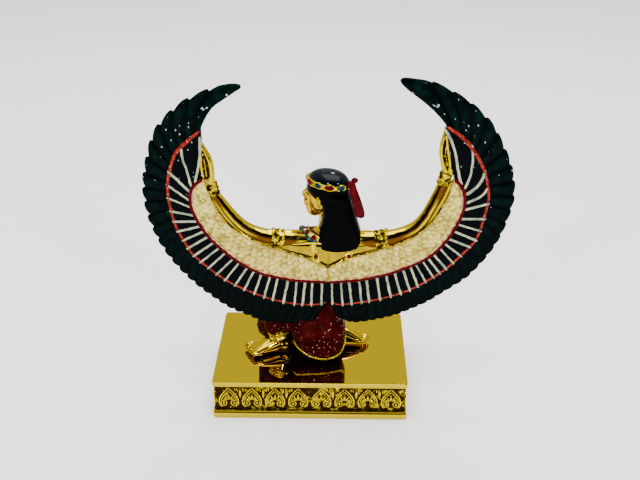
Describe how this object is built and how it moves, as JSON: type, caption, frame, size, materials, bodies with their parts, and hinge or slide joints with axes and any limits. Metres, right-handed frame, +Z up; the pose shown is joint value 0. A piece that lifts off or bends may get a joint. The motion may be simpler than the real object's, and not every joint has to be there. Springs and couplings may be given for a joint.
{
  "type": "winged goddess statuette",
  "caption": "Kneeling winged goddess with raised curved wings, long dark wig and banded feathers, on a low polished plinth with a palmette frieze.",
  "frame": {"origin": "middle of the plinth's flat underside", "axes": "+Z up; -Y the way the chest and the front of the wings face; +X the way the head and the bent knees are turned"},
  "size_m": [0.1643, 0.0666, 0.1574],
  "materials": {
    "gold_plating": "mirror-polished bright yellow gold plating, dark patina in the recesses",
    "green_enamel": "glossy blackish green enamel on the long feathers",
    "navy_enamel": "glossy blue-black enamel with pale painted bars",
    "pearl_enamel": "pearly cream enamel over cut scales",
    "red_enamel": "dark red enamel, with glitter on the dress",
    "orange_enamel": "orange-red painted edge",
    "black_enamel": "glossy black enamel of the wig",
    "teal_enamel": "blue-green enamel of the collar and the set stones"
  },
  "bodies": {
    "root": {"goddess": "green_enamel", "plinth": "gold_plating"}
  },
  "joints": []
}
